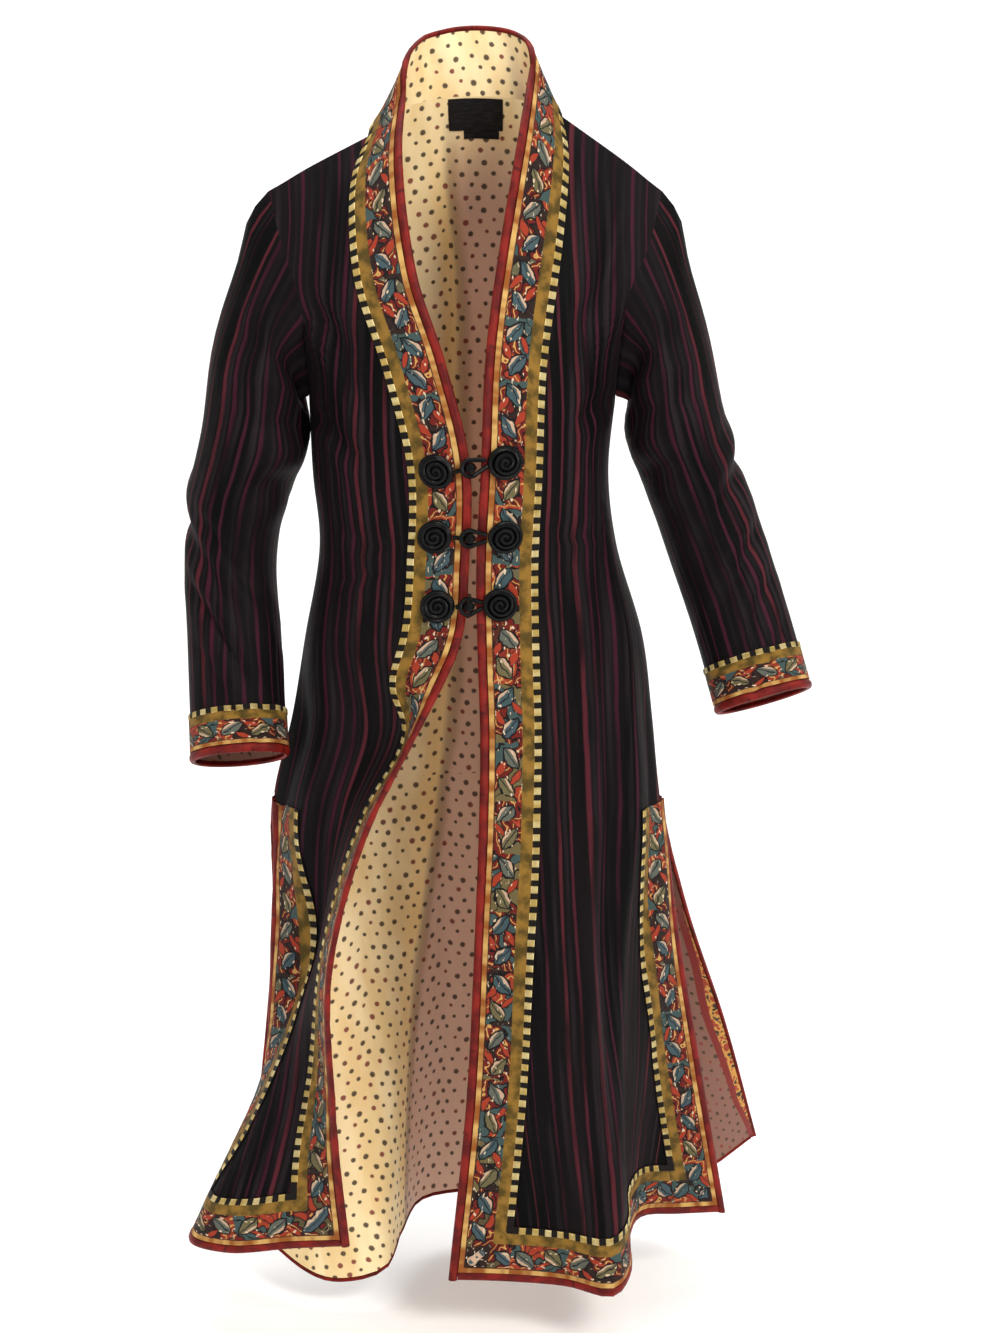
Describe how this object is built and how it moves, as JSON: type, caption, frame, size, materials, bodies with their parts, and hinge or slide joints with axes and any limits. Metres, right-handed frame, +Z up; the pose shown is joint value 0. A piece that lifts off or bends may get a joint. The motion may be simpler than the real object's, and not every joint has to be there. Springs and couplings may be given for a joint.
{
  "type": "duster coat",
  "caption": "Long duster coat in its worn, hollow form: stand collar, side slits, patterned trim with a rolled binding on every edge, and cord frog fastenings.",
  "frame": {"origin": "middle of the wearer's neck, level with the inner end of the left shoulder seam, where the coat hangs", "axes": "+Z up, the coat faces -Y, +X is to the viewer's right from the front"},
  "size_m": [0.6655, 0.3733, 1.3511],
  "materials": {
    "striped_cloth": "soft sheen, striped",
    "dotted_lining": "satin, dotted",
    "trim_band": "woven brocade",
    "edge_binding": "satin",
    "black_cord": "satin cord",
    "label_cloth": "woven"
  },
  "bodies": {
    "root": {"back": "striped_cloth", "back_lining": "dotted_lining", "band_collar": "trim_band", "band_cuff_left": "trim_band", "band_cuff_right": "trim_band", "band_front_left": "trim_band", "band_front_right": "trim_band", "band_hem_back": "trim_band", "band_hem_front_left": "trim_band", "band_hem_front_right": "trim_band", "band_slit_back_left": "trim_band", "band_slit_back_right": "trim_band", "band_slit_front_left": "trim_band", "band_slit_front_right": "trim_band", "binding_collar": "edge_binding", "binding_cuff_left": "edge_binding", "binding_cuff_right": "edge_binding", "binding_front_left": "edge_binding", "binding_front_right": "edge_binding", "binding_hem_back": "edge_binding", "binding_hem_front_left": "edge_binding", "binding_hem_front_right": "edge_binding", "binding_slit_back_left": "edge_binding", "binding_slit_back_right": "edge_binding", "binding_slit_front_left": "edge_binding", "binding_slit_front_right": "edge_binding", "collar": "striped_cloth", "collar_lining": "dotted_lining", "frog_1_knot": "black_cord", "frog_1_loop": "black_cord", "frog_1_rosette_left": "black_cord", "frog_1_rosette_right": "black_cord", "frog_2_knot": "black_cord", "frog_2_loop": "black_cord", "frog_2_rosette_left": "black_cord", "frog_2_rosette_right": "black_cord", "frog_3_knot": "black_cord", "frog_3_loop": "black_cord", "frog_3_rosette_left": "black_cord", "frog_3_rosette_right": "black_cord", "front_left": "striped_cloth", "front_right": "striped_cloth", "label_tab": "label_cloth", "neck_label": "label_cloth", "sleeve_left": "striped_cloth", "sleeve_right": "striped_cloth"}
  },
  "joints": []
}
